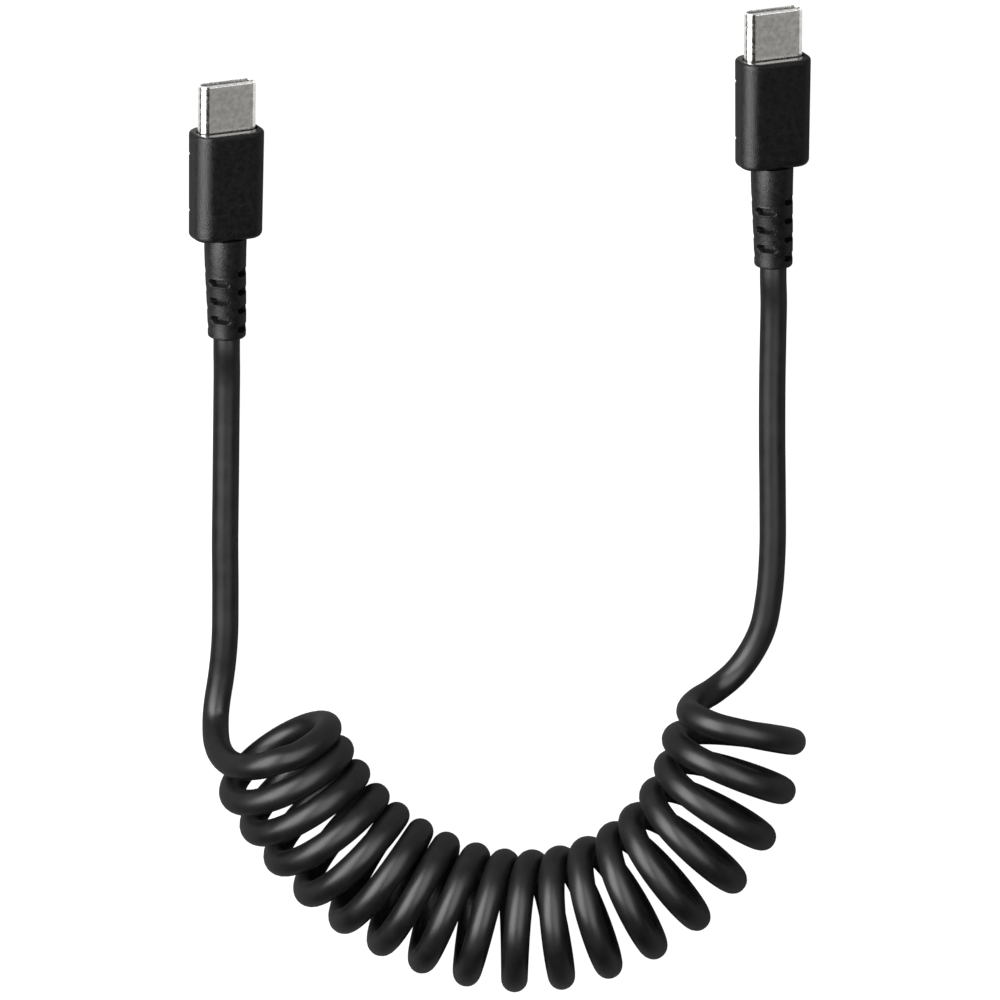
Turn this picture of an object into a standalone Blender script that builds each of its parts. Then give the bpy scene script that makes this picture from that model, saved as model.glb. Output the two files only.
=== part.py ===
"""Coiled USB-C cable: two plugs, a straight leg of cord behind each, and the curly stretch between them.

The cable lies on a level floor, z = 0, in a U. The two plugs point along +Y and the curly stretch is the
bottom of the U, on the -Y side. The origin is on the floor, midway between the two plugs. Metres, +Z up.
"""

import math

import bmesh
import bpy
import numpy as np
from mathutils import Vector

# Connector shell, a standard size
SHELL_WIDTH = 0.00825
SHELL_HEIGHT = 0.0024
SHELL_WALL = 0.0003
SHELL_CORNER = 0.00119
SHELL_LIP = 0.0001
SHELL_REACH = 0.0066
SHELL_SEAT = 0.003

# Insulator inside the shell, with the slot that takes the socket's tongue
INSULATOR_SETBACK = 0.0004
TONGUE_SLOT_WIDTH = 0.0065
TONGUE_SLOT_HEIGHT = 0.0008
TONGUE_SLOT_DEPTH = 0.0052

# Moulded plug body
BODY_WIDTH = 0.01
BODY_THICKNESS = 0.006
BODY_LENGTH = 0.01495
BODY_CORNER = 0.0023
BODY_FRONT_RIM = 0.0005
BODY_BACK_RIM = 0.0008
BODY_DRAFT = 0.0001

# Two fine grooves across each narrow side of the body, measured back from its front
GROOVE_PLACES = (0.0032, 0.0111)
GROOVE_WIDTH = 0.0006
GROOVE_DEPTH = 0.0001
GROOVE_INNER_END = 0.0029

# Tapered strain relief behind the body; its tail hangs lower than the plug by the sag
RELIEF_LENGTH = 0.0145
RELIEF_ROOT_RADIUS = 0.00287
RELIEF_TIP_RADIUS = 0.00256
RELIEF_RIM = 0.0003
RELIEF_SPIGOT_RADIUS = 0.0021
RELIEF_SPIGOT_LENGTH = 0.002
RELIEF_SAG = 0.00175
RELIEF_SAG_LENGTH = 0.0132

# Flex slots: rows at four diagonals, three or four slots in a row
SLOT_WIDTH = 0.0029
SLOT_LENGTH = 0.001
SLOT_CORNER = 0.00045
SLOT_DEPTH = 0.0008
SLOT_PITCH = 0.00275
LONG_ROW_FIRST = 0.0015
ROW_STAGGER = 0.00144
SHORT_ROW_FIRST = LONG_ROW_FIRST + ROW_STAGGER
SLOT_ROWS = (
    (45, LONG_ROW_FIRST, 4),
    (135, SHORT_ROW_FIRST, 3),
    (225, LONG_ROW_FIRST, 4),
    (315, SHORT_ROW_FIRST, 3),
)

# Cord
CORD_RADIUS = 0.0018
CORD_SOCKET_DEPTH = 0.001
COIL_RADIUS = 0.00785
CORD_STEP = 0.0037
COIL_STEP = 0.006

# Clearances: between two seated pieces, and at the cord's ends
SEAT_GAP = 0.0002
CORD_GAP = 0.0003

# Where the cord leaves each plug on the floor plan, how far the plug is rolled about its own length, and
# how far it points to the right of +Y
PLUG_A_EXIT = (-0.0373, -0.0250)
PLUG_A_ROLL = math.radians(35)
PLUG_A_TURN = math.radians(0.8)
PLUG_B_EXIT = (0.0369, -0.0110)
PLUG_B_ROLL = math.radians(33.5)
PLUG_B_TURN = math.radians(0.25)

# Floor plan of the curly stretch's centre line, from the left leg round to the right leg
COIL_PLAN = (
    (-0.0303, -0.0793),
    (-0.0256, -0.0877),
    (-0.0185, -0.0955),
    (-0.0092, -0.1008),
    (0.0018, -0.1032),
    (0.0129, -0.1013),
    (0.0233, -0.0948),
    (0.0307, -0.0841),
    (0.0332, -0.0720),
)

# Route of each leg between its plug and the curly stretch
LEG_A_ROUTE = (
    (-0.0374, -0.0298, 0.0022),
    (-0.0375, -0.0343, 0.00195),
    (-0.0376, -0.0400, 0.00185),
    (-0.0377, -0.0471, 0.00182),
    (-0.0378, -0.0541, 0.00182),
    (-0.0378, -0.0626, 0.00185),
    (-0.0379, -0.0683, 0.0022),
    (-0.0386, -0.0730, 0.0037),
    (-0.0391, -0.0766, 0.0066),
)
LEG_B_ROUTE = (
    (0.0369, -0.0158, 0.0022),
    (0.0368, -0.0211, 0.00195),
    (0.0367, -0.0274, 0.00185),
    (0.0367, -0.0358, 0.00182),
    (0.0368, -0.0443, 0.00182),
    (0.0368, -0.0513, 0.00182),
    (0.0363, -0.0582, 0.0019),
    (0.0345, -0.0625, 0.0023),
    (0.0312, -0.0650, 0.0036),
    (0.0281, -0.0657, 0.0062),
)


def clear_scene():
    for obj in list(bpy.data.objects):
        bpy.data.objects.remove(obj, do_unlink=True)


def plain_material(name, colour, roughness, metallic=0.0):
    material = bpy.data.materials.new(name)
    material.use_nodes = True
    shader = material.node_tree.nodes["Principled BSDF"]
    shader.inputs["Base Color"].default_value = (*colour, 1.0)
    shader.inputs["Roughness"].default_value = roughness
    shader.inputs["Metallic"].default_value = metallic
    return material


def nickel_material():
    return plain_material("nickel_plate", (0.62, 0.61, 0.58), 0.25, 1.0)


def insulator_material():
    return plain_material("insulator_plastic", (0.02, 0.02, 0.02), 0.45)


def body_material():
    return plain_material("body_plastic", (0.018, 0.018, 0.019), 0.5)


def relief_material():
    return plain_material("relief_rubber", (0.017, 0.017, 0.018), 0.45)


def cord_material():
    return plain_material("cord_sheath", (0.014, 0.014, 0.015), 0.38)


def new_object(name, mesh, parent=None, material=None):
    obj = bpy.data.objects.new(name, mesh)
    bpy.context.scene.collection.objects.link(obj)
    obj.parent = parent
    if material is not None:
        obj.data.materials.append(material)
    return obj


def finished_mesh(name, shape):
    """The bmesh as a smooth-shaded mesh with its sharp edges kept."""
    bmesh.ops.recalc_face_normals(shape, faces=shape.faces)
    mesh = bpy.data.meshes.new(name)
    shape.to_mesh(mesh)
    shape.free()
    mesh.shade_smooth()
    mesh.set_sharp_from_angle(angle=math.radians(35))
    return mesh


def long_edges(shape, axis):
    """The edges that run along one axis."""
    found = []
    for edge in shape.edges:
        run = edge.verts[0].co - edge.verts[1].co
        if abs(run[axis]) > 0.99 * run.length:
            found.append(edge)
    return found


def end_edges(shape, axis, level):
    """The edges that lie in one flat end, at this level of the axis."""
    found = []
    for edge in shape.edges:
        if all(abs(vertex.co[axis] - level) < 1e-7 for vertex in edge.verts):
            found.append(edge)
    return found


def rounded_block(width, height, back, front, corner, rim_back=0.0, rim_front=0.0, draft=0.0):
    """A block along Y with its four long edges rounded, and either end's rim if a radius is given.

    Each side comes in by the draft at the back.
    """
    shape = bmesh.new()
    bmesh.ops.create_cube(shape, size=1.0)
    for vertex in shape.verts:
        drawn_in = 2 * draft if vertex.co.y < 0 else 0.0
        vertex.co.x *= width - drawn_in
        vertex.co.y = front if vertex.co.y > 0 else back
        vertex.co.z *= height - drawn_in
    bmesh.ops.bevel(
        shape, geom=long_edges(shape, 1), offset=corner, offset_type="OFFSET", segments=8,
        profile=0.5, affect="EDGES", clamp_overlap=True,
    )
    for level, rim in ((back, rim_back), (front, rim_front)):
        if rim > 0:
            bmesh.ops.bevel(
                shape, geom=end_edges(shape, 1, level), offset=rim, offset_type="OFFSET", segments=3,
                profile=0.5, affect="EDGES", clamp_overlap=True,
            )
    return shape


def turned_solid(profile, sides=48):
    """A round solid along Y from a profile of (radius, y) pairs, listed from the back to the front."""
    shape = bmesh.new()
    rings = []
    for radius, y in profile:
        ring = []
        for index in range(sides):
            angle = 2 * math.pi * index / sides
            ring.append(shape.verts.new((radius * math.cos(angle), y, radius * math.sin(angle))))
        rings.append(ring)
    for ring, following in zip(rings, rings[1:]):
        for index in range(sides):
            after = (index + 1) % sides
            shape.faces.new((ring[index], ring[after], following[after], following[index]))
    shape.faces.new(rings[0])
    shape.faces.new(rings[-1])
    return shape


def subtract(obj, cutter):
    cutter.hide_render = True
    cutter.display_type = "WIRE"
    modifier = obj.modifiers.new("cut_" + cutter.name, "BOOLEAN")
    modifier.operation = "DIFFERENCE"
    modifier.solver = "EXACT"
    modifier.object = cutter


def body_back():
    """The body's rear face, along the plug from the cord's exit."""
    return RELIEF_LENGTH


def body_front():
    return RELIEF_LENGTH + BODY_LENGTH


def shell_back():
    return body_front() - SHELL_SEAT


def shell_front():
    return body_front() + SHELL_REACH


def make_shell(name, plug):
    shape = rounded_block(
        SHELL_WIDTH, SHELL_HEIGHT, shell_back(), shell_front(), SHELL_CORNER, rim_front=SHELL_LIP
    )
    shell = new_object(name + "_shell", finished_mesh(name + "_shell", shape), plug, nickel_material())
    past = 0.001
    shape = rounded_block(
        SHELL_WIDTH - 2 * SHELL_WALL, SHELL_HEIGHT - 2 * SHELL_WALL, shell_back() - past,
        shell_front() + past, SHELL_CORNER - SHELL_WALL,
    )
    bore = new_object(name + "_shell_bore", finished_mesh(name + "_shell_bore", shape), plug)
    subtract(shell, bore)
    return shell


def make_insulator(name, plug):
    inset = SHELL_WALL + SEAT_GAP
    front = shell_front() - INSULATOR_SETBACK
    shape = rounded_block(
        SHELL_WIDTH - 2 * inset, SHELL_HEIGHT - 2 * inset, shell_back(), front, SHELL_CORNER - inset
    )
    insulator = new_object(
        name + "_insulator", finished_mesh(name + "_insulator", shape), plug, insulator_material()
    )
    past = 0.001
    shape = rounded_block(
        TONGUE_SLOT_WIDTH, TONGUE_SLOT_HEIGHT, front - TONGUE_SLOT_DEPTH, front + past,
        0.4 * TONGUE_SLOT_HEIGHT,
    )
    slot = new_object(name + "_tongue_slot", finished_mesh(name + "_tongue_slot", shape), plug)
    subtract(insulator, slot)
    return insulator


def make_body(name, plug):
    shape = rounded_block(
        BODY_WIDTH, BODY_THICKNESS, body_back(), body_front(), BODY_CORNER,
        rim_back=BODY_BACK_RIM, rim_front=BODY_FRONT_RIM, draft=BODY_DRAFT,
    )
    body = new_object(name + "_body", finished_mesh(name + "_body", shape), plug, body_material())
    past = 0.001
    shape = rounded_block(
        SHELL_WIDTH + 2 * SEAT_GAP, SHELL_HEIGHT + 2 * SEAT_GAP, shell_back() - SEAT_GAP,
        body_front() + past, SHELL_CORNER + SEAT_GAP,
    )
    pocket = new_object(name + "_shell_pocket", finished_mesh(name + "_shell_pocket", shape), plug)
    subtract(body, pocket)
    radius = RELIEF_SPIGOT_RADIUS + SEAT_GAP
    depth = RELIEF_SPIGOT_LENGTH + SEAT_GAP
    shape = turned_solid(((radius, body_back() - past), (radius, body_back() + depth)))
    socket = new_object(name + "_relief_socket", finished_mesh(name + "_relief_socket", shape), plug)
    subtract(body, socket)
    for side in (-1, 1):
        for index, distance in enumerate(GROOVE_PLACES):
            cutter_name = f"{name}_groove_{'left' if side < 0 else 'right'}_{index}"
            subtract(body, make_groove_cutter(cutter_name, side, body_front() - distance, plug))
    return body


def make_groove_cutter(name, side, y, plug):
    """A shallow groove's cutter: a slab round one narrow side, with the core of the body taken out of it."""
    past = 0.001
    width = BODY_WIDTH / 2 + past - GROOVE_INNER_END
    shape = bmesh.new()
    bmesh.ops.create_cube(shape, size=1.0)
    for vertex in shape.verts:
        vertex.co.x *= width
        vertex.co.y *= GROOVE_WIDTH
        vertex.co.z *= BODY_THICKNESS + 2 * past
    cutter = new_object(name, finished_mesh(name, shape), plug)
    cutter.location = (side * (GROOVE_INNER_END + width / 2), y, 0.0)
    inset = GROOVE_DEPTH + BODY_DRAFT * (body_front() - y) / BODY_LENGTH
    shape = rounded_block(
        BODY_WIDTH - 2 * inset, BODY_THICKNESS - 2 * inset, y - GROOVE_WIDTH, y + GROOVE_WIDTH,
        BODY_CORNER - GROOVE_DEPTH,
    )
    core = new_object(name + "_core", finished_mesh(name + "_core", shape), plug)
    subtract(cutter, core)
    return cutter


def relief_radius(y):
    """The strain relief's radius at this distance from the cord's exit."""
    share = y / RELIEF_LENGTH
    return RELIEF_TIP_RADIUS + (RELIEF_ROOT_RADIUS - RELIEF_TIP_RADIUS) * share


def make_relief(name, plug):
    shoulder = RELIEF_LENGTH - SEAT_GAP
    profile = [(RELIEF_TIP_RADIUS - RELIEF_RIM, 0.0)]
    for step in range(1, 4):
        turn = math.radians(30 * step)
        y = RELIEF_RIM * (1 - math.cos(turn))
        profile.append((relief_radius(y) - RELIEF_RIM * (1 - math.sin(turn)), y))
    profile.append((RELIEF_ROOT_RADIUS, shoulder))
    profile.append((RELIEF_SPIGOT_RADIUS, shoulder))
    profile.append((RELIEF_SPIGOT_RADIUS, RELIEF_LENGTH + RELIEF_SPIGOT_LENGTH))
    relief = new_object(
        name + "_strain_relief", finished_mesh(name + "_strain_relief", turned_solid(profile)),
        plug, relief_material(),
    )
    past = 0.001
    radius = CORD_RADIUS + SEAT_GAP
    shape = turned_solid(((radius, -past), (radius, CORD_SOCKET_DEPTH)))
    socket = new_object(name + "_cord_socket", finished_mesh(name + "_cord_socket", shape), plug)
    subtract(relief, socket)
    for angle, first, count in SLOT_ROWS:
        for index in range(count):
            y = first + index * SLOT_PITCH
            cutter = make_slot_cutter(f"{name}_slot_{angle}_{index}", y, angle, plug)
            subtract(relief, cutter)
    return relief


def sag(y):
    """How far the strain relief hangs below the plug's axis here: all of the sag at the tail, eased to none."""
    share = min(max(y / RELIEF_SAG_LENGTH, 0.0), 1.0)
    return RELIEF_SAG * (1 - share * share * (3 - 2 * share))


def bend_relief(relief, plug):
    """Cuts the strain relief's mesh for good, then lowers each of its points by the sag there."""
    bpy.context.view_layer.update()
    graph = bpy.context.evaluated_depsgraph_get()
    mesh = bpy.data.meshes.new_from_object(relief.evaluated_get(graph))
    relief.modifiers.clear()
    relief.data = mesh
    down = plug.matrix_world.to_3x3().inverted() @ Vector((0.0, 0.0, -1.0))
    for vertex in mesh.vertices:
        vertex.co += sag(vertex.co.y) * down


def make_slot_cutter(name, y, angle, plug):
    """One flex slot: a round-ended window across the relief, its floor at the slot's depth."""
    floor = relief_radius(y) - SLOT_DEPTH
    height = SLOT_DEPTH + 0.001
    shape = bmesh.new()
    bmesh.ops.create_cube(shape, size=1.0)
    for vertex in shape.verts:
        vertex.co.x *= SLOT_WIDTH
        vertex.co.y *= SLOT_LENGTH
        vertex.co.z = floor + height if vertex.co.z > 0 else floor
    bmesh.ops.bevel(
        shape, geom=long_edges(shape, 2), offset=SLOT_CORNER, offset_type="OFFSET", segments=4,
        profile=0.5, affect="EDGES", clamp_overlap=True,
    )
    cutter = new_object(name, finished_mesh(name, shape), plug)
    cutter.location.y = y
    cutter.rotation_euler.y = math.radians(angle)
    return cutter


def resting_height(roll):
    """Height of the plug's axis when the rolled body touches the floor."""
    half_width = BODY_WIDTH / 2 - BODY_CORNER
    half_thickness = BODY_THICKNESS / 2 - BODY_CORNER
    return half_width * math.sin(roll) + half_thickness * math.cos(roll) + BODY_CORNER


def make_plug(name, place, roll, turn):
    """A plug's pieces on one empty, above where the cord leaves it, with its own +Y towards the mouth.

    It returns the middle of the strain relief's tail and the direction of the mouth.
    """
    plug = new_object(name, None)
    plug.location = (*place, resting_height(roll))
    plug.rotation_euler = (0.0, roll, -turn)
    make_shell(name, plug)
    make_insulator(name, plug)
    make_body(name, plug)
    bend_relief(make_relief(name, plug), plug)
    tail = np.array((*place, resting_height(roll) - RELIEF_SAG))
    return tail, np.array((math.sin(turn), math.cos(turn), 0.0))


def smooth_line(points, step):
    """Points about one step apart along a smooth curve through the given ones.

    Between two points the curve is a cubic whose slope at each is that of its neighbours, over the
    distances between them.
    """
    points = np.array(points, float)
    along = np.concatenate([[0.0], np.cumsum(np.linalg.norm(np.diff(points, axis=0), axis=1))])
    slopes = np.gradient(points, along, axis=0, edge_order=2)
    count = max(2, int(round(along[-1] / step)))
    sample = np.linspace(0.0, along[-1], count + 1)
    index = np.clip(np.searchsorted(along, sample, side="right") - 1, 0, len(points) - 2)
    span = (along[index + 1] - along[index])[:, None]
    t = (sample - along[index])[:, None] / span
    return (
        (2 * t**3 - 3 * t**2 + 1) * points[index]
        + (t**3 - 2 * t**2 + t) * span * slopes[index]
        + (3 * t**2 - 2 * t**3) * points[index + 1]
        + (t**3 - t**2) * span * slopes[index + 1]
    )


def make_tube(name, line, radius, resolution, material):
    """A round tube along a line of points, with flat closed ends."""
    curve = bpy.data.curves.new(name, "CURVE")
    curve.dimensions = "3D"
    curve.bevel_depth = radius
    curve.bevel_resolution = resolution
    curve.use_fill_caps = True
    spline = curve.splines.new("POLY")
    spline.points.add(len(line) - 1)
    for point, place in zip(spline.points, line):
        point.co = (*place, 1.0)
    return new_object(name, curve, None, material)


def unit(vector):
    return vector / np.linalg.norm(vector)


def make_curly_cord():
    """The curly stretch's outer shape, one round solid, and its two end faces as (centre, outward run)."""
    outer = COIL_RADIUS + CORD_RADIUS
    plan = [(x, y, outer) for x, y in COIL_PLAN]
    line = smooth_line(plan, COIL_STEP)
    make_tube("curly_cord", line, outer, 6, cord_material())
    return (line[0], unit(line[0] - line[1])), (line[-1], unit(line[-1] - line[-2]))


def coil_meeting_point(end, side):
    """Where a leg's centre line meets an end face of the curly stretch, off to one side of its centre."""
    centre, outward = end
    sideways = unit(np.cross(outward, (0.0, 0.0, 1.0)))
    return centre + side * COIL_RADIUS * sideways + CORD_GAP * outward


def make_leg(name, tail, route, end, side):
    place, mouthward = tail
    start = place + (CORD_SOCKET_DEPTH - CORD_GAP) * mouthward
    meeting = coil_meeting_point(end, side)
    approach = meeting + 2 * CORD_RADIUS * end[1]
    line = smooth_line([start, *route, approach, meeting], CORD_STEP)
    make_tube(name, line, CORD_RADIUS, 2, cord_material())


def build():
    clear_scene()
    tail_a = make_plug("plug_a", PLUG_A_EXIT, PLUG_A_ROLL, PLUG_A_TURN)
    tail_b = make_plug("plug_b", PLUG_B_EXIT, PLUG_B_ROLL, PLUG_B_TURN)
    first_end, last_end = make_curly_cord()
    make_leg("leg_a", tail_a, LEG_A_ROUTE, first_end, -1)
    make_leg("leg_b", tail_b, LEG_B_ROUTE, last_end, -1)


build()
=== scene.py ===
"""Finish of a coiled USB-C cable: one black cord, curly in its middle, a moulded plug at each end."""

import math

import bpy
import numpy as np
from mathutils import Matrix


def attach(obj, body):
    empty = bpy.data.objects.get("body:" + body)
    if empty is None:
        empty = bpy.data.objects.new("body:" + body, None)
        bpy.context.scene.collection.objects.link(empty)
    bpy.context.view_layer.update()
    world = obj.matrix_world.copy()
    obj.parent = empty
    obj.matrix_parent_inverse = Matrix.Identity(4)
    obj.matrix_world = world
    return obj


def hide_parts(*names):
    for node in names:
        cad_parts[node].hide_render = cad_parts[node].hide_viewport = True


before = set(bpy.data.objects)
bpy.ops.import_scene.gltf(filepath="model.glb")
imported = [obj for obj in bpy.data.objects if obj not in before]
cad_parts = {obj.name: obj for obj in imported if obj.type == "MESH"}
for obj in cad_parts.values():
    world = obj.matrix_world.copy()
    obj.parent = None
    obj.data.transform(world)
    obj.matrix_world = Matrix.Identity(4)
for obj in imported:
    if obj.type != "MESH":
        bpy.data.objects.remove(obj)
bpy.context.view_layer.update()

# Sizes of the solids, in metres
SHELL_WIDTH, SHELL_HEIGHT, SHELL_CORNER = 0.00825, 0.0024, 0.00119
SHELL_WALL, SHELL_REACH = 0.0003, 0.0066
BODY_WIDTH, BODY_THICKNESS, BODY_LENGTH = 0.01, 0.006, 0.01495
BODY_CORNER, BODY_FRONT_RIM, BODY_BACK_RIM = 0.0023, 0.0005, 0.0008
BODY_DRAFT = 0.0001
GROOVE_PLACES, GROOVE_WIDTH, GROOVE_DEPTH = (0.0032, 0.0111), 0.0006, 0.0001
SEAT_GAP = 0.0002
RELIEF_LENGTH, RELIEF_ROOT_RADIUS, RELIEF_TIP_RADIUS = 0.0145, 0.00287, 0.00256
RELIEF_SAG, RELIEF_SAG_LENGTH = 0.00175, 0.0132
SLOT_WIDTH, SLOT_LENGTH, SLOT_CORNER = 0.0029, 0.001, 0.00045
SLOT_PITCH = 0.00275
LONG_ROW_FIRST = 0.0015
SHORT_ROW_FIRST = LONG_ROW_FIRST + 0.00144
SLOT_ROWS = (
    (45, LONG_ROW_FIRST, 4),
    (135, SHORT_ROW_FIRST, 3),
    (225, LONG_ROW_FIRST, 4),
    (315, SHORT_ROW_FIRST, 3),
)
CORD_RADIUS, COIL_RADIUS = 0.0018, 0.00785

# Sizes of what only this finish shows: eased edges, and how far a skin goes on inside its neighbour
SHELL_LIP, SHELL_SHOWN_SEAT = 0.00025, 0.002
GROOVE_WALL, GROOVE_INNER_END = 0.0001, 0.0029
POCKET_SHOWN = 0.0022
RELIEF_RIM, RELIEF_SOCKET_SHOWN, RELIEF_BORE_GAP = 0.0003, 0.0012, 0.00004
SLOT_DEPTH, SLOT_WALL = 0.0013, 0.0001
SLOT_LIP_HEIGHT, SLOT_LIP_AWAY, SLOT_LIP_WIDTH = 0.00004, 0.00012, 0.0001
CORD_SIDES, CORD_RING_PITCH, CORD_SEAT = 24, 0.00105, 0.0007

# Each plug: where its cord leaves it on the floor plan, its roll about its own length, its turn from +Y
PLUGS = {
    "plug_a": ((-0.0373, -0.0250), math.radians(35), math.radians(0.8)),
    "plug_b": ((0.0369, -0.0110), math.radians(33.5), math.radians(0.25)),
}

# Floor plan of the curly stretch's centre line, from the left leg round to the right leg
COIL_PLAN = (
    (-0.0303, -0.0793),
    (-0.0256, -0.0877),
    (-0.0185, -0.0955),
    (-0.0092, -0.1008),
    (0.0018, -0.1032),
    (0.0129, -0.1013),
    (0.0233, -0.0948),
    (0.0307, -0.0841),
    (0.0332, -0.0720),
)

# Turns of the curl: the phases of its ends, and the lean and yaw of its rings in degrees,
# as a constant, a slope and a curvature from one end of the plan to the other
TURNS = 17.5
COIL_PHASE = 0.309
COIL_FIRST, COIL_LAST = 2.2, 2 * math.pi * TURNS - 1.45
COIL_LEAN = (2.698, 2.5, 6.2)
COIL_YAW = (0.949, 1.041)

# Route of the cord's two straight legs, each from its plug into the first turn of the curl
LEG_A_ROUTE = (
    (-0.0374, -0.0298, 0.0022),
    (-0.0375, -0.0343, 0.00195),
    (-0.0376, -0.0400, 0.00185),
    (-0.0377, -0.0471, 0.00182),
    (-0.0378, -0.0541, 0.00182),
    (-0.0378, -0.0626, 0.00182),
    (-0.0379, -0.0683, 0.0019),
    (-0.0385, -0.0740, 0.0018),
    (-0.0389, -0.0768, 0.0021),
    (-0.0390, -0.0786, 0.0027),
    (-0.0388, -0.0800, 0.0040),
    (-0.0383, -0.0811, 0.0061),
    (-0.0372, -0.0819, 0.0090),
    (-0.0354, -0.0821, 0.0122),
    (-0.0333, -0.0817, 0.0149),
    (-0.0315, -0.0811, 0.0165),
    (-0.0297, -0.0805, 0.0173),
    (-0.0274, -0.0797, 0.0172),
)
LEG_B_ROUTE = (
    (0.0369, -0.0158, 0.0022),
    (0.0368, -0.0211, 0.00195),
    (0.0367, -0.0274, 0.00185),
    (0.0367, -0.0358, 0.00182),
    (0.0368, -0.0443, 0.00182),
    (0.0368, -0.0513, 0.00182),
    (0.0363, -0.0582, 0.00182),
    (0.0355, -0.0624, 0.00182),
    (0.0341, -0.0656, 0.0019),
    (0.0321, -0.0685, 0.0026),
    (0.0295, -0.0706, 0.0045),
    (0.0276, -0.0712, 0.0078),
    (0.0273, -0.0713, 0.0120),
    (0.0286, -0.0710, 0.0150),
)

# Camera: how far it looks down from the plugs' side and from the right, in degrees, its distance,
# the point of the floor that it looks at, and its lens as a multiple of the sensor's width
CAMERA_TILT, CAMERA_SWING, CAMERA_DISTANCE = 18.0, 10.0, 3.0
CAMERA_AIM = (-0.00057, -0.04695, 0.0)
SENSOR_WIDTH, LENS_IN_SENSORS = 36.0, 22.35


def matrix_of(side, up, back, place):
    """The matrix whose first three columns are these directions and whose fourth is the place."""
    rows = [[side[i], up[i], back[i], place[i]] for i in range(3)]
    return Matrix(rows + [[0.0, 0.0, 0.0, 1.0]])


def camera():
    """A long lens that looks down on the floor, a little from the plugs' side and from the right."""
    tilt, swing = math.radians(CAMERA_TILT), math.radians(CAMERA_SWING)
    back = np.array(
        (math.cos(tilt) * math.sin(swing), math.sin(tilt), math.cos(tilt) * math.cos(swing))
    )
    up = np.array((0.0, 1.0, 0.0)) - back[1] * back
    up = up / np.linalg.norm(up)
    data = bpy.data.cameras.new("camera")
    data.sensor_width = SENSOR_WIDTH
    data.lens = SENSOR_WIDTH * LENS_IN_SENSORS
    data.clip_start = 0.01
    eye = bpy.data.objects.new("camera", data)
    bpy.context.scene.collection.objects.link(eye)
    place = np.array(CAMERA_AIM) + CAMERA_DISTANCE * back
    eye.matrix_world = matrix_of(np.cross(up, back), up, back, place)
    bpy.context.scene.camera = eye


def smooth_line(points, sample_at, along):
    """Cubic through the points: at each its slope is that of its two neighbours, and h is the span.

    p(t) = (2t^3-3t^2+1) p0 + (t^3-2t^2+t) h m0 + (3t^2-2t^3) p1 + (t^3-t^2) h m1
    """
    points = np.asarray(points, float)
    slopes = np.gradient(points, along, axis=0, edge_order=2)
    index = np.clip(np.searchsorted(along, sample_at, side="right") - 1, 0, len(points) - 2)
    span = (along[index + 1] - along[index])[:, None]
    t = (sample_at - along[index])[:, None] / span
    return (
        (2 * t**3 - 3 * t**2 + 1) * points[index]
        + (t**3 - 2 * t**2 + t) * span * slopes[index]
        + (3 * t**2 - 2 * t**3) * points[index + 1]
        + (t**3 - t**2) * span * slopes[index + 1]
    )


def lengths_along(points):
    """The length of the line of points up to each of them: the running sum of its steps."""
    return np.concatenate([[0.0], np.cumsum(np.linalg.norm(np.diff(points, axis=0), axis=1))])


def unit(vectors):
    """Each vector over its own length."""
    return vectors / np.linalg.norm(vectors, axis=-1, keepdims=True)


def coil_points(phases):
    """Centres of the cord round the curl: C(w) - r cos(p) n + r sin(p) (cos(lean) z + sin(lean) t).

    w runs from 0 to 1 along the floor plan's curve C with tangent t and inner side n, and the phase p
    by 2 pi a turn. The yaw turns the ring's inward part from n towards t.
    """
    w = (phases - COIL_PHASE) / (2 * math.pi * TURNS - 2 * COIL_PHASE)
    steps = np.linspace(0.0, 1.0, len(COIL_PLAN))
    plan = smooth_line(COIL_PLAN, w, steps)
    nudge = 1e-4
    ahead = smooth_line(COIL_PLAN, w + nudge, steps) - smooth_line(COIL_PLAN, w - nudge, steps)
    run = unit(ahead)
    inner = np.stack([-run[:, 1], run[:, 0]], axis=1)
    u = 2 * w - 1
    lean = np.radians(COIL_LEAN[0] + COIL_LEAN[1] * u + COIL_LEAN[2] * u * u)
    yaw = np.radians(COIL_YAW[0] + COIL_YAW[1] * u)
    side = -COIL_RADIUS * np.cos(phases)
    rise = COIL_RADIUS * np.sin(phases)
    flat = plan + (side * np.cos(yaw))[:, None] * inner
    flat = flat + (np.sin(lean) * rise + np.sin(yaw) * side)[:, None] * run
    height = COIL_RADIUS + CORD_RADIUS + np.cos(lean) * rise
    return np.column_stack([flat, height])


def resting_height(roll):
    """Height of a plug's axis: how deep a rounded rectangle rolled by this angle reaches."""
    half_width = BODY_WIDTH / 2 - BODY_CORNER
    half_thickness = BODY_THICKNESS / 2 - BODY_CORNER
    return half_width * math.sin(roll) + half_thickness * math.cos(roll) + BODY_CORNER


def cord_line():
    """Centres of the cord's rings, evenly spaced from one strain relief's socket to the other's."""
    ends = []
    for place, roll, turn in PLUGS.values():
        start = np.array((*place, resting_height(roll) - RELIEF_SAG))
        mouthward = np.array((math.sin(turn), math.cos(turn), 0.0))
        ends.append(np.array([start + CORD_SEAT * mouthward, start - 0.0020 * mouthward]))
    phases = np.arange(COIL_FIRST, COIL_LAST, 2 * math.pi / 24)
    points = np.concatenate(
        [ends[0], LEG_A_ROUTE, coil_points(phases), LEG_B_ROUTE[::-1], ends[1][::-1]]
    )
    along = lengths_along(points)
    fine = smooth_line(points, np.linspace(0.0, along[-1], 6000), along)
    length = lengths_along(fine)
    count = int(round(length[-1] / CORD_RING_PITCH))
    even = np.linspace(0.0, length[-1], count + 1)
    line = np.column_stack([np.interp(even, length, fine[:, i]) for i in range(3)])
    return line, length[-1]


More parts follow.
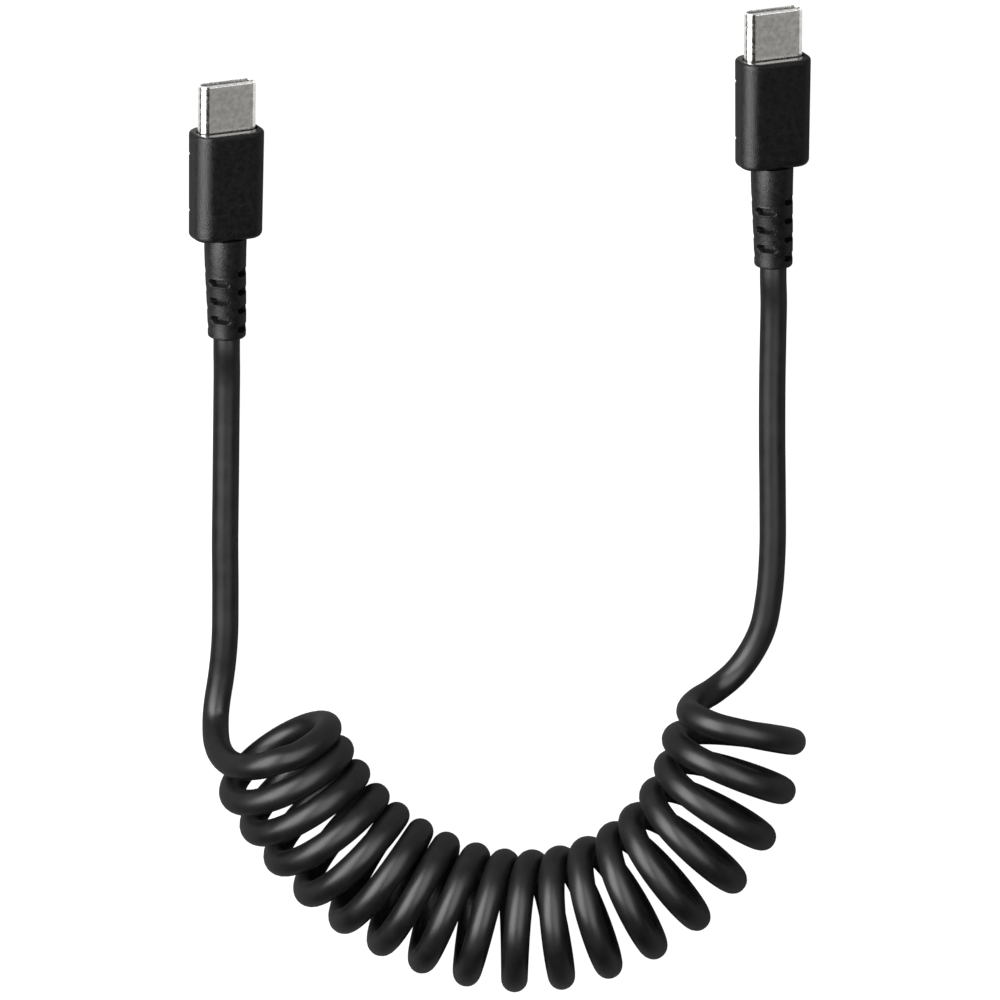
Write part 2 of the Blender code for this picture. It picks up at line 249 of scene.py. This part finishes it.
def carried_frames(line):
    """Two normals for each ring: the first is the last ring's, less its part along the new tangent."""
    tangents = unit(np.gradient(line, axis=0))
    normals = np.empty_like(line)
    normal = np.array((1.0, 0.0, 0.0))
    for index, tangent in enumerate(tangents):
        normal = unit(normal - tangent * np.dot(normal, tangent))
        normals[index] = normal
    return normals, np.cross(tangents, normals)


def grid_faces(rows, columns, flip=False):
    """Quads between the rows of a grid whose columns close on themselves, as four indices each."""
    row, column = np.meshgrid(np.arange(rows - 1), np.arange(columns), indexing="ij")
    after = (column + 1) % columns
    here, above = row * columns, (row + 1) * columns
    quads = np.stack([here + column, here + after, above + after, above + column], axis=-1)
    quads = quads.reshape(-1, 4)
    return quads[:, ::-1] if flip else quads


def surface(name, points, quads, caps, place_name, places, sharp=60):
    """A smooth-shaded mesh object at the origin, from points, quads and closing polygons.

    Each point keeps its place on the piece as a named attribute, which the finishes read.
    """
    mesh = bpy.data.meshes.new(name)
    mesh.from_pydata(points.tolist(), [], quads.tolist() + [cap.tolist() for cap in caps])
    mesh.validate()
    mesh.shade_smooth()
    mesh.set_sharp_from_angle(angle=math.radians(sharp))
    layer = mesh.attributes.new(place_name, "FLOAT_VECTOR", "POINT")
    layer.data.foreach_set("vector", places.astype(np.float32).ravel())
    mesh.update()
    piece = bpy.data.objects.new(name, mesh)
    bpy.context.scene.collection.objects.link(piece)
    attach(piece, "root")
    return piece


def cord_piece():
    """The whole cord as one tube: ring centre + R (cos(a) n + sin(a) b) for each ring of its line."""
    line, length = cord_line()
    normals, others = carried_frames(line)
    angles = np.arange(CORD_SIDES) * 2 * math.pi / CORD_SIDES
    ring = np.cos(angles)[:, None] * normals[:, None, :]
    ring = ring + np.sin(angles)[:, None] * others[:, None, :]
    points = (line[:, None, :] + CORD_RADIUS * ring).reshape(-1, 3)
    rows = len(line)
    along = np.linspace(0.0, length, rows)[:, None]
    section = CORD_RADIUS * np.cos(angles), CORD_RADIUS * np.sin(angles)
    places = np.stack(np.broadcast_arrays(*section, along), axis=-1).reshape(-1, 3)
    caps = (np.arange(CORD_SIDES)[::-1], (rows - 1) * CORD_SIDES + np.arange(CORD_SIDES))
    cord = surface("cord", points, grid_faces(rows, CORD_SIDES), caps, "sheath_place", places)
    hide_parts("leg_a", "curly_cord", "leg_b")
    return cord, line, length


def rounded_sections(width, height, corner, arc=24, flat=20):
    """Points round rounded rectangles in x and z, one row a rectangle: four corner arcs and flats.

    A corner's points are its centre plus the corner radius times (cos a, sin a), and a flat's points
    are evenly spaced between the ends of its two arcs.
    """
    sizes = np.broadcast_arrays(*np.atleast_1d(width, height, corner))
    width, height, corner = (value[:, None] for value in sizes)
    turn = np.radians(np.linspace(0, 90, arc))
    arcs = []
    for quarter, (side_x, side_z) in enumerate(((1, 1), (-1, 1), (-1, -1), (1, -1))):
        angle = turn + quarter * math.pi / 2
        x = side_x * (width / 2 - corner) + corner * np.cos(angle)
        z = side_z * (height / 2 - corner) + corner * np.sin(angle)
        arcs.append(np.stack([x, z], axis=-1))
    share = np.linspace(0, 1, flat + 2)[None, 1:-1, None]
    parts = []
    for quarter in range(4):
        leave, meet = arcs[quarter][:, -1:], arcs[(quarter + 1) % 4][:, :1]
        parts += [arcs[quarter], leave + (meet - leave) * share]
    return np.concatenate(parts, axis=1)


def eased(edge0, edge1, value):
    """Smooth step: 3t^2 - 2t^3 with t running from 0 at edge0 to 1 at edge1."""
    t = np.clip((value - edge0) / (edge1 - edge0), 0.0, 1.0)
    return t * t * (3 - 2 * t)


def rim_inset(distance, radius):
    """How far a rounded end draws in at this distance from it: r - sqrt(r^2 - (r - distance)^2)."""
    left = np.clip(radius - distance, 0.0, radius)
    return radius - np.sqrt(np.maximum(radius**2 - left**2, 0.0))


def sag(y):
    """How far the strain relief hangs here: the whole sag at its tail, eased to none at the body."""
    return RELIEF_SAG * (1 - eased(0.0, RELIEF_SAG_LENGTH, y))


def placed(plug, local, hang=0.0):
    """A plug's own coordinates (x across, y to the mouth, z off the broad side) turned into place.

    across = x cos(roll) + z sin(roll), and Z = z cos(roll) - x sin(roll) over the axis, less the hang.
    across and y are then turned by the plug's turn on the floor plan, from where the cord leaves.
    """
    (left, front), roll, turn = PLUGS[plug]
    x, y, z = local[..., 0], local[..., 1], local[..., 2]
    across = x * math.cos(roll) + z * math.sin(roll)
    return np.stack(
        [
            left + across * math.cos(turn) + y * math.sin(turn),
            front + y * math.cos(turn) - across * math.sin(turn),
            resting_height(roll) + z * math.cos(roll) - x * math.sin(roll) - hang,
        ],
        axis=-1,
    )


def loft(plug, name, sections, levels, sharp=60, hanging=False):
    """A skin through sections (rows of x, z points) at levels along the plug, closed at its ends."""
    rows, count = sections.shape[:2]
    levels = np.broadcast_to(np.asarray(levels, float).reshape(rows, 1), (rows, count))
    local = np.stack([sections[..., 0], levels, sections[..., 1]], axis=-1).reshape(-1, 3)
    ends = (np.arange(count), (rows - 1) * count + np.arange(count)[::-1])
    points = placed(plug, local, sag(local[:, 1]) if hanging else 0.0)
    quads = grid_faces(rows, count, flip=True)
    return surface(name, points, quads, ends, "plug_place", local, sharp)


def body_piece(plug):
    """The moulded body: a rounded section along the plug, drawn in by a quarter circle at each end.

    Its sides come in by the draft towards the back, and two grooves cross the lower half of each
    narrow side. At the front the skin turns in to the shell's outline and goes down into the pocket
    that the shell stands in.
    """
    back, front = RELIEF_LENGTH, RELIEF_LENGTH + BODY_LENGTH
    fineness = {"arc": 30, "flat": 22}
    turn = np.radians(np.linspace(0, 90, 9))
    grooves = [front - distance for distance in GROOVE_PLACES]
    level = np.concatenate(
        [back + BODY_BACK_RIM * (1 - np.cos(turn)), front - BODY_FRONT_RIM * (1 - np.cos(turn))]
        + [groove + np.linspace(-0.00045, 0.00045, 19) for groove in grooves]
        + [np.linspace(back + BODY_BACK_RIM, front - BODY_FRONT_RIM, 24)]
    )
    level = np.unique(np.round(level, 7))
    rims = rim_inset(level - back, BODY_BACK_RIM) + rim_inset(front - level, BODY_FRONT_RIM)
    inset = rims + BODY_DRAFT * (front - level) / BODY_LENGTH
    sections = rounded_sections(
        BODY_WIDTH - 2 * inset, BODY_THICKNESS - 2 * inset, BODY_CORNER - rims, **fineness
    )
    groove_floors = rounded_sections(
        BODY_WIDTH - 2 * inset - 2 * GROOVE_DEPTH,
        BODY_THICKNESS - 2 * inset - 2 * GROOVE_DEPTH,
        BODY_CORNER - rims - 0.5 * GROOVE_DEPTH,
        **fineness,
    )
    press = np.zeros(len(level))
    for groove in grooves:
        here = eased(GROOVE_WIDTH / 2, GROOVE_WIDTH / 2 - GROOVE_WALL, np.abs(level - groove))
        press = np.maximum(press, here)
    narrow_side = eased(
        GROOVE_INNER_END - GROOVE_WALL, GROOVE_INNER_END + 2 * GROOVE_WALL, np.abs(sections[..., 0])
    )
    narrow_side = narrow_side * eased(0.0002, -0.0005, sections[..., 1])
    sections = sections + (groove_floors - sections) * (press[:, None] * narrow_side)[..., None]
    pocket = rounded_sections(
        SHELL_WIDTH + 2 * SEAT_GAP, SHELL_HEIGHT + 2 * SEAT_GAP, SHELL_CORNER + SEAT_GAP, **fineness
    )[0]
    rim = sections[-1]
    inward = [rim + (pocket - rim) * share for share in (0.3, 0.65, 0.94)]
    sections = np.concatenate([sections, inward, [pocket, pocket]])
    mouth = [front, front, front - 0.00001, front - 0.00008, front - POCKET_SHOWN]
    body = loft(plug, plug + "_body_skin", sections, np.concatenate([level, mouth]), sharp=50)
    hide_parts(plug + "_body")
    return body


def relief_radius(y):
    """The taper: tip radius plus the share of the length times the difference."""
    return RELIEF_TIP_RADIUS + (RELIEF_ROOT_RADIUS - RELIEF_TIP_RADIUS) * y / RELIEF_LENGTH


def slot_depth(angle, y):
    """How deep the flex slots are at each (angle, y): a rounded box with soft walls, times a floor.

    For each slot, q = (|arc| - half width, |y - middle| - half length). The wall is where the rounded
    distance of q is 0, the floor is a flat at the slot's depth under the surface's middle, and a low
    bell of a lip, exp(-((distance - away) / width)^2), stands round the wall.
    """
    depth = np.zeros(np.broadcast(angle, y).shape)
    for degrees, first, number in SLOT_ROWS:
        away = (angle - math.radians(90 - degrees) + math.pi) % (2 * math.pi) - math.pi
        for index in range(number):
            middle = first + index * SLOT_PITCH
            radius = relief_radius(middle)
            arc = np.abs(radius * np.sin(np.clip(away, -math.pi / 2, math.pi / 2)))
            arc = np.where(np.abs(away) > 1.2, 1.0, arc)
            past_side = arc - (SLOT_WIDTH / 2 - SLOT_CORNER)
            past_end = np.abs(y - middle) - (SLOT_LENGTH / 2 - SLOT_CORNER)
            q = np.stack(np.broadcast_arrays(past_side, past_end))
            outside = np.linalg.norm(np.maximum(q, 0.0), axis=0)
            outside = outside + np.minimum(np.max(q, axis=0), 0.0) - SLOT_CORNER
            wall = eased(0.00003, -SLOT_WALL, outside)
            floor = radius - (radius - SLOT_DEPTH) / np.maximum(np.cos(away), 0.5)
            depth = np.maximum(depth, wall * np.maximum(floor, 0.0))
            lip = np.exp(-(((outside - SLOT_LIP_AWAY) / SLOT_LIP_WIDTH) ** 2))
            depth = depth - SLOT_LIP_HEIGHT * lip
    return depth


def relief_piece(plug):
    """The strain relief: a taper whose radius is cut by the slots' depth, hung by the sag.

    Its tip is a quarter circle, and there the skin turns in to the cord and goes up inside the socket.
    """
    count = 240
    turn = np.radians(np.linspace(0, 90, 6))
    slots_end = SHORT_ROW_FIRST + 3 * SLOT_PITCH
    slotted = np.linspace(0.0005, slots_end, 150)
    plain = np.linspace(slots_end, RELIEF_LENGTH - 0.00005, 16)[1:]
    level = np.concatenate([slotted, plain])
    angle = np.arange(count) * 2 * math.pi / count
    radius = relief_radius(level)[:, None] - slot_depth(angle[None, :], level[:, None])
    bore = CORD_RADIUS + RELIEF_BORE_GAP
    rim_y = RELIEF_RIM * (1 - np.cos(turn))
    rim_r = relief_radius(rim_y) - RELIEF_RIM * (1 - np.sin(turn))
    before_y = np.concatenate([[RELIEF_SOCKET_SHOWN, 0.0001, 0.0], rim_y[:-1], [0.0004]])
    before_r = np.concatenate([[bore, bore, bore + 0.00006], rim_r[:-1], [relief_radius(0.0004)]])
    level = np.concatenate([before_y, level])
    radius = np.concatenate([np.repeat(before_r[:, None], count, axis=1), radius])
    sections = np.stack(
        [radius * np.cos(angle)[None, :], radius * np.sin(angle)[None, :]], axis=-1
    )
    relief = loft(plug, plug + "_relief_skin", sections, level, hanging=True)
    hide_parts(plug + "_strain_relief")
    return relief


def shell_piece(plug):
    """The connector shell: a stadium section along the plug, a rolled lip and the cavity inside it.

    The lip is an outer quarter curve and a half circle of the wall's thickness, and inside it the
    wall runs back past the insulator's front.
    """
    root = RELIEF_LENGTH + BODY_LENGTH
    front = root + SHELL_REACH
    turn = np.radians(np.linspace(0, 80, 8))
    bend = np.radians(np.linspace(0, 180, 9))[1:]
    draw = 0.3 * SHELL_LIP
    middle, half = (draw + SHELL_WALL) / 2, (SHELL_WALL - draw) / 2
    straight = np.linspace(root - SHELL_SHOWN_SEAT, front - SHELL_LIP - 0.0001, 16)
    level = np.concatenate(
        [
            straight,
            front - 0.6 * half - SHELL_LIP * (1 - np.sin(turn)),
            front - 0.6 * half + 0.6 * half * np.sin(bend),
            [front - 0.0003, front - 0.003, front - 0.0063],
        ]
    )
    rolled = [draw * (1 - np.cos(turn)), middle - half * np.cos(bend)]
    inset = np.concatenate([0 * straight, *rolled, [SHELL_WALL] * 3])
    sections = rounded_sections(
        SHELL_WIDTH - 2 * inset, SHELL_HEIGHT - 2 * inset, SHELL_CORNER - inset
    )
    shell = loft(plug, plug + "_shell_skin", sections, level, sharp=70)
    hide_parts(plug + "_shell")
    return shell


def new_node(tree, kind, **settings):
    """A node of this kind in the tree, with these settings."""
    node = tree.nodes.new(kind)
    for key, value in settings.items():
        setattr(node, key, value)
    return node


def new_group(name, inputs, outputs):
    """An empty node group with inputs (name, kind, default) and outputs (name, kind), and its ends."""
    group = bpy.data.node_groups.new(name, "ShaderNodeTree")
    for label, kind, default in inputs:
        socket = group.interface.new_socket(label, in_out="INPUT", socket_type=kind)
        if default is not None:
            socket.default_value = default
    for label, kind in outputs:
        group.interface.new_socket(label, in_out="OUTPUT", socket_type=kind)
    return group, group.nodes.new("NodeGroupInput"), group.nodes.new("NodeGroupOutput")


def grain_group():
    """Fine moulded grain: two sizes of noise mixed into a height, and the broad one as a mask."""
    group, start, end = new_group(
        "moulded_grain",
        (
            ("Place", "NodeSocketVector", None),
            ("Fine Scale", "NodeSocketFloat", 9000.0),
            ("Broad Scale", "NodeSocketFloat", 900.0),
            ("Fine Share", "NodeSocketFloat", 0.7),
        ),
        (("Height", "NodeSocketFloat"), ("Mask", "NodeSocketFloat")),
    )
    fine = new_node(group, "ShaderNodeTexNoise")
    fine.inputs["Detail"].default_value = 2.0
    broad = new_node(group, "ShaderNodeTexNoise")
    broad.inputs["Detail"].default_value = 3.0
    mix = new_node(group, "ShaderNodeMix", data_type="FLOAT")
    link = group.links.new
    link(start.outputs["Place"], fine.inputs["Vector"])
    link(start.outputs["Place"], broad.inputs["Vector"])
    link(start.outputs["Fine Scale"], fine.inputs["Scale"])
    link(start.outputs["Broad Scale"], broad.inputs["Scale"])
    link(start.outputs["Fine Share"], mix.inputs[0])
    link(broad.outputs[0], mix.inputs[2])
    link(fine.outputs[0], mix.inputs[3])
    link(mix.outputs[0], end.inputs["Height"])
    link(broad.outputs[0], end.inputs["Mask"])


def tint_group():
    """A base colour varied between two shades by a mask, and the roughness varied the same way."""
    group, start, end = new_group(
        "shade_variation",
        (
            ("Mask", "NodeSocketFloat", 0.5),
            ("Dark", "NodeSocketColor", (0.01, 0.01, 0.01, 1.0)),
            ("Light", "NodeSocketColor", (0.02, 0.02, 0.02, 1.0)),
            ("Smooth", "NodeSocketFloat", 0.35),
            ("Rough", "NodeSocketFloat", 0.5),
        ),
        (("Color", "NodeSocketColor"), ("Roughness", "NodeSocketFloat")),
    )
    stretch = new_node(group, "ShaderNodeMapRange")
    stretch.inputs["From Min"].default_value = 0.35
    stretch.inputs["From Max"].default_value = 0.65
    colour = new_node(group, "ShaderNodeMix", data_type="RGBA")
    rough = new_node(group, "ShaderNodeMix", data_type="FLOAT")
    link = group.links.new
    link(start.outputs["Mask"], stretch.inputs["Value"])
    link(stretch.outputs["Result"], colour.inputs[0])
    link(start.outputs["Dark"], colour.inputs[6])
    link(start.outputs["Light"], colour.inputs[7])
    link(stretch.outputs["Result"], rough.inputs[0])
    link(start.outputs["Smooth"], rough.inputs[2])
    link(start.outputs["Rough"], rough.inputs[3])
    link(colour.outputs[2], end.inputs["Color"])
    link(rough.outputs[0], end.inputs["Roughness"])


def finish_material(name, place, grain, tint, bump, metallic=0.0, specular=0.5):
    """A material from the two shared groups: grain gives the bump and mask, tint colour and gloss.

    Place names the attribute that the grain lies on, or the object's own coordinates where it is
    empty. The grain is its fine scale, broad scale and fine share, the tint its dark and light shade
    and its least and most roughness, and the bump its strength and distance.
    """
    material = bpy.data.materials.new(name)
    material.use_nodes = True
    tree = material.node_tree
    shader = tree.nodes["Principled BSDF"]
    shader.inputs["Metallic"].default_value = metallic
    shader.inputs["Specular IOR Level"].default_value = specular
    if place:
        where = new_node(tree, "ShaderNodeAttribute", attribute_name=place).outputs["Vector"]
    else:
        where = new_node(tree, "ShaderNodeTexCoord").outputs["Object"]
    groups = bpy.data.node_groups
    texture = new_node(tree, "ShaderNodeGroup", node_tree=groups["moulded_grain"])
    for key, value in zip(("Fine Scale", "Broad Scale", "Fine Share"), grain):
        texture.inputs[key].default_value = value
    shade = new_node(tree, "ShaderNodeGroup", node_tree=groups["shade_variation"])
    dark, light, smooth, rough = tint
    shade.inputs["Dark"].default_value = (*dark, 1.0)
    shade.inputs["Light"].default_value = (*light, 1.0)
    shade.inputs["Smooth"].default_value = smooth
    shade.inputs["Rough"].default_value = rough
    relief = new_node(tree, "ShaderNodeBump")
    relief.inputs["Strength"].default_value, relief.inputs["Distance"].default_value = bump
    link = tree.links.new
    link(where, texture.inputs["Place"])
    link(texture.outputs["Mask"], shade.inputs["Mask"])
    link(texture.outputs["Height"], relief.inputs["Height"])
    link(shade.outputs["Color"], shader.inputs["Base Color"])
    link(shade.outputs["Roughness"], shader.inputs["Roughness"])
    link(relief.outputs["Normal"], shader.inputs["Normal"])
    return material


def front_mask(tree, first, over):
    """An output that rises from 0 to 1 along the plug, from this place and over this distance."""
    where = [node for node in tree.nodes if node.bl_idname == "ShaderNodeAttribute"][0]
    split = new_node(tree, "ShaderNodeSeparateXYZ")
    front = new_node(tree, "ShaderNodeMapRange")
    front.inputs["From Min"].default_value = first
    front.inputs["From Max"].default_value = first + over
    tree.links.new(where.outputs["Vector"], split.inputs["Vector"])
    tree.links.new(split.outputs["Y"], front.inputs["Value"])
    return front.outputs["Result"]


def sheath_finish():
    """Even, satin black sheath of the cord."""
    tint = (0.0030, 0.0030, 0.0032), (0.0045, 0.0045, 0.0048), 0.36, 0.43
    return finish_material(
        "satin_sheath", "sheath_place", (4500.0, 420.0, 0.45), tint, (0.35, 0.00004), specular=0.4
    )


def body_finish():
    """Fine spark texture on the body's sides, and a polished front face round the shell."""
    tint = (0.0030, 0.0030, 0.0032), (0.0055, 0.0055, 0.0058), 0.28, 0.38
    material = finish_material(
        "spark_textured_plastic", "plug_place", (7500.0, 1600.0, 0.75), tint, (1.0, 0.00009),
        specular=0.4,
    )
    tree = material.node_tree
    shader = tree.nodes["Principled BSDF"]
    mask = front_mask(tree, RELIEF_LENGTH + BODY_LENGTH - 0.00012, 0.0001)
    tree.links.new(mask, shader.inputs["Coat Weight"])
    shader.inputs["Coat Roughness"].default_value = 0.08
    shader.inputs["Coat IOR"].default_value = 1.9
    return material


def relief_finish():
    """Matt black rubber of the strain reliefs."""
    tint = (0.0030, 0.0030, 0.0032), (0.0055, 0.0055, 0.0058), 0.34, 0.46
    return finish_material(
        "moulded_rubber", "plug_place", (6000.0, 1200.0, 0.6), tint, (0.9, 0.00009), specular=0.4
    )


def shell_finish():
    """Satin nickel, with a painted highlight: the base colour is mixed towards near white on the rolled
    lip.
    """
    tint = (0.53, 0.515, 0.49), (0.72, 0.70, 0.665), 0.20, 0.30
    material = finish_material(
        "satin_nickel_painted_lip_highlight", "plug_place", (9000.0, 1500.0, 0.6), tint, (0.25, 0.00003), metallic=1.0
    )
    tree = material.node_tree
    shader = tree.nodes["Principled BSDF"]
    satin = shader.inputs["Base Color"].links[0].from_socket
    # painted highlight: near-white colour mixed into the base colour on the rolled lip, standing in for
    # the light on it
    pale = new_node(tree, "ShaderNodeMix", data_type="RGBA")
    pale.inputs[7].default_value = (0.96, 0.96, 0.95, 1.0)
    lip = front_mask(tree, RELIEF_LENGTH + BODY_LENGTH + SHELL_REACH - 0.0003, 0.0002)
    tree.links.new(lip, pale.inputs[0])
    tree.links.new(satin, pale.inputs[6])
    tree.links.new(pale.outputs[2], shader.inputs["Base Color"])
    return material


def insulator_finish():
    """Light grey plastic of the block inside the shell."""
    tint = (0.30, 0.30, 0.30), (0.38, 0.38, 0.38), 0.4, 0.5
    return finish_material("insulator_plastic", "", (6000.0, 900.0, 0.5), tint, (0.2, 0.00004))


def dress(piece, material):
    """Gives the piece this one material."""
    piece.data.materials.clear()
    piece.data.materials.append(material)


def floor():
    """A plain pale floor under the cable, which glows for the camera so that it reads as white."""
    size = 3.0
    corners = [(-size, -size, 0), (size, -size, 0), (size, size, 0), (-size, size, 0)]
    mesh = bpy.data.meshes.new("studio_floor")
    mesh.from_pydata(corners, [], [(0, 1, 2, 3)])
    plane = bpy.data.objects.new("studio_floor", mesh)
    bpy.context.scene.collection.objects.link(plane)
    material = bpy.data.materials.new("pale_floor")
    material.use_nodes = True
    tree = material.node_tree
    shader = tree.nodes["Principled BSDF"]
    shader.inputs["Base Color"].default_value = (0.11, 0.11, 0.11, 1.0)
    shader.inputs["Roughness"].default_value = 0.9
    shader.inputs["Specular IOR Level"].default_value = 0.1
    shader.inputs["Emission Color"].default_value = (1.0, 1.0, 1.0, 1.0)
    seen = new_node(tree, "ShaderNodeLightPath")
    tree.links.new(seen.outputs["Is Camera Ray"], shader.inputs["Emission Strength"])
    plane.data.materials.append(material)


def soft_light(name, place, back, width, length, brightness, only=()):
    """A rectangular lamp with its back to this direction, its width across and its length along y.

    Its power is its brightness times pi times its area. Where only names pieces, it lights no others.
    """
    data = bpy.data.lights.new(name, "AREA")
    data.shape = "RECTANGLE"
    data.size, data.size_y = width, length
    data.energy = brightness * math.pi * width * length
    lamp = bpy.data.objects.new(name, data)
    bpy.context.scene.collection.objects.link(lamp)
    lamp.visible_camera = False
    if only:
        lit = bpy.data.collections.new(name + "_lights")
        for piece in only:
            lit.objects.link(piece)
        lamp.light_linking.receiver_collection = lit
    up = np.array((0.0, 1.0, 0.0))
    lamp.matrix_world = matrix_of(np.cross(up, back), up, back, place)


def softbox(name, bearing, along, width, length, brightness, only=()):
    """A soft light over the cable, at its bearing in degrees from straight up towards +X.

    It faces the cable from one distance, and along is its middle's y.
    """
    distance = 0.6
    angle = math.radians(bearing)
    back = np.array((math.sin(angle), 0.0, math.cos(angle)))
    place = distance * back + (0.0, along, 0.0)
    soft_light(name, place, back, width, length, brightness, only)


def studio(cord):
    """Plain soft light: a key on the left, a weaker fill on the right and a small lamp low in front.

    The plugs have a strip of the key to themselves, and the shells a low sheen from the right and the
    glow of a white floor, from a light that lies on it and faces up.
    """
    world = bpy.data.worlds.new("studio")
    world.use_nodes = True
    sky = world.node_tree.nodes["Background"]
    sky.inputs["Color"].default_value = (1.0, 1.0, 1.0, 1.0)
    sky.inputs["Strength"].default_value = 0.5
    world.cycles_visibility.glossy = False
    bpy.context.scene.world = world
    shells = [bpy.data.objects[plug + "_shell_skin"] for plug in PLUGS]
    moulded = [plug + part for plug in PLUGS for part in ("_body_skin", "_relief_skin")]
    plugs = shells + [bpy.data.objects[name] for name in moulded]
    softbox("left_key", -34, 0.425, 0.58, 1.15, 8.5)
    softbox("plug_key", -34, -0.31, 0.58, 0.28, 5.2, plugs)
    softbox("right_fill", 32, 0.415, 0.46, 1.17, 4.2, [cord])
    softbox("shell_sheen", 62, -0.20, 0.45, 0.5, 0.42, shells)
    softbox("front_right", 60, 0.24, 0.25, 0.25, 2.5)
    soft_light("floor_glow", (0.1, -0.1, 0.0002), np.array((0.0, 0.0, -1.0)), 0.6, 0.6, 0.8, shells)
    bpy.context.scene.view_settings.view_transform = "Standard"


camera()
grain_group()
tint_group()
cord, cord_centres, cord_length = cord_piece()
dress(cord, sheath_finish())
body_look, relief_look = body_finish(), relief_finish()
shell_look, insulator_look = shell_finish(), insulator_finish()
for plug_name in PLUGS:
    dress(body_piece(plug_name), body_look)
    dress(relief_piece(plug_name), relief_look)
    dress(shell_piece(plug_name), shell_look)
    dress(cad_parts[plug_name + "_insulator"], insulator_look)
floor()
studio(cord)
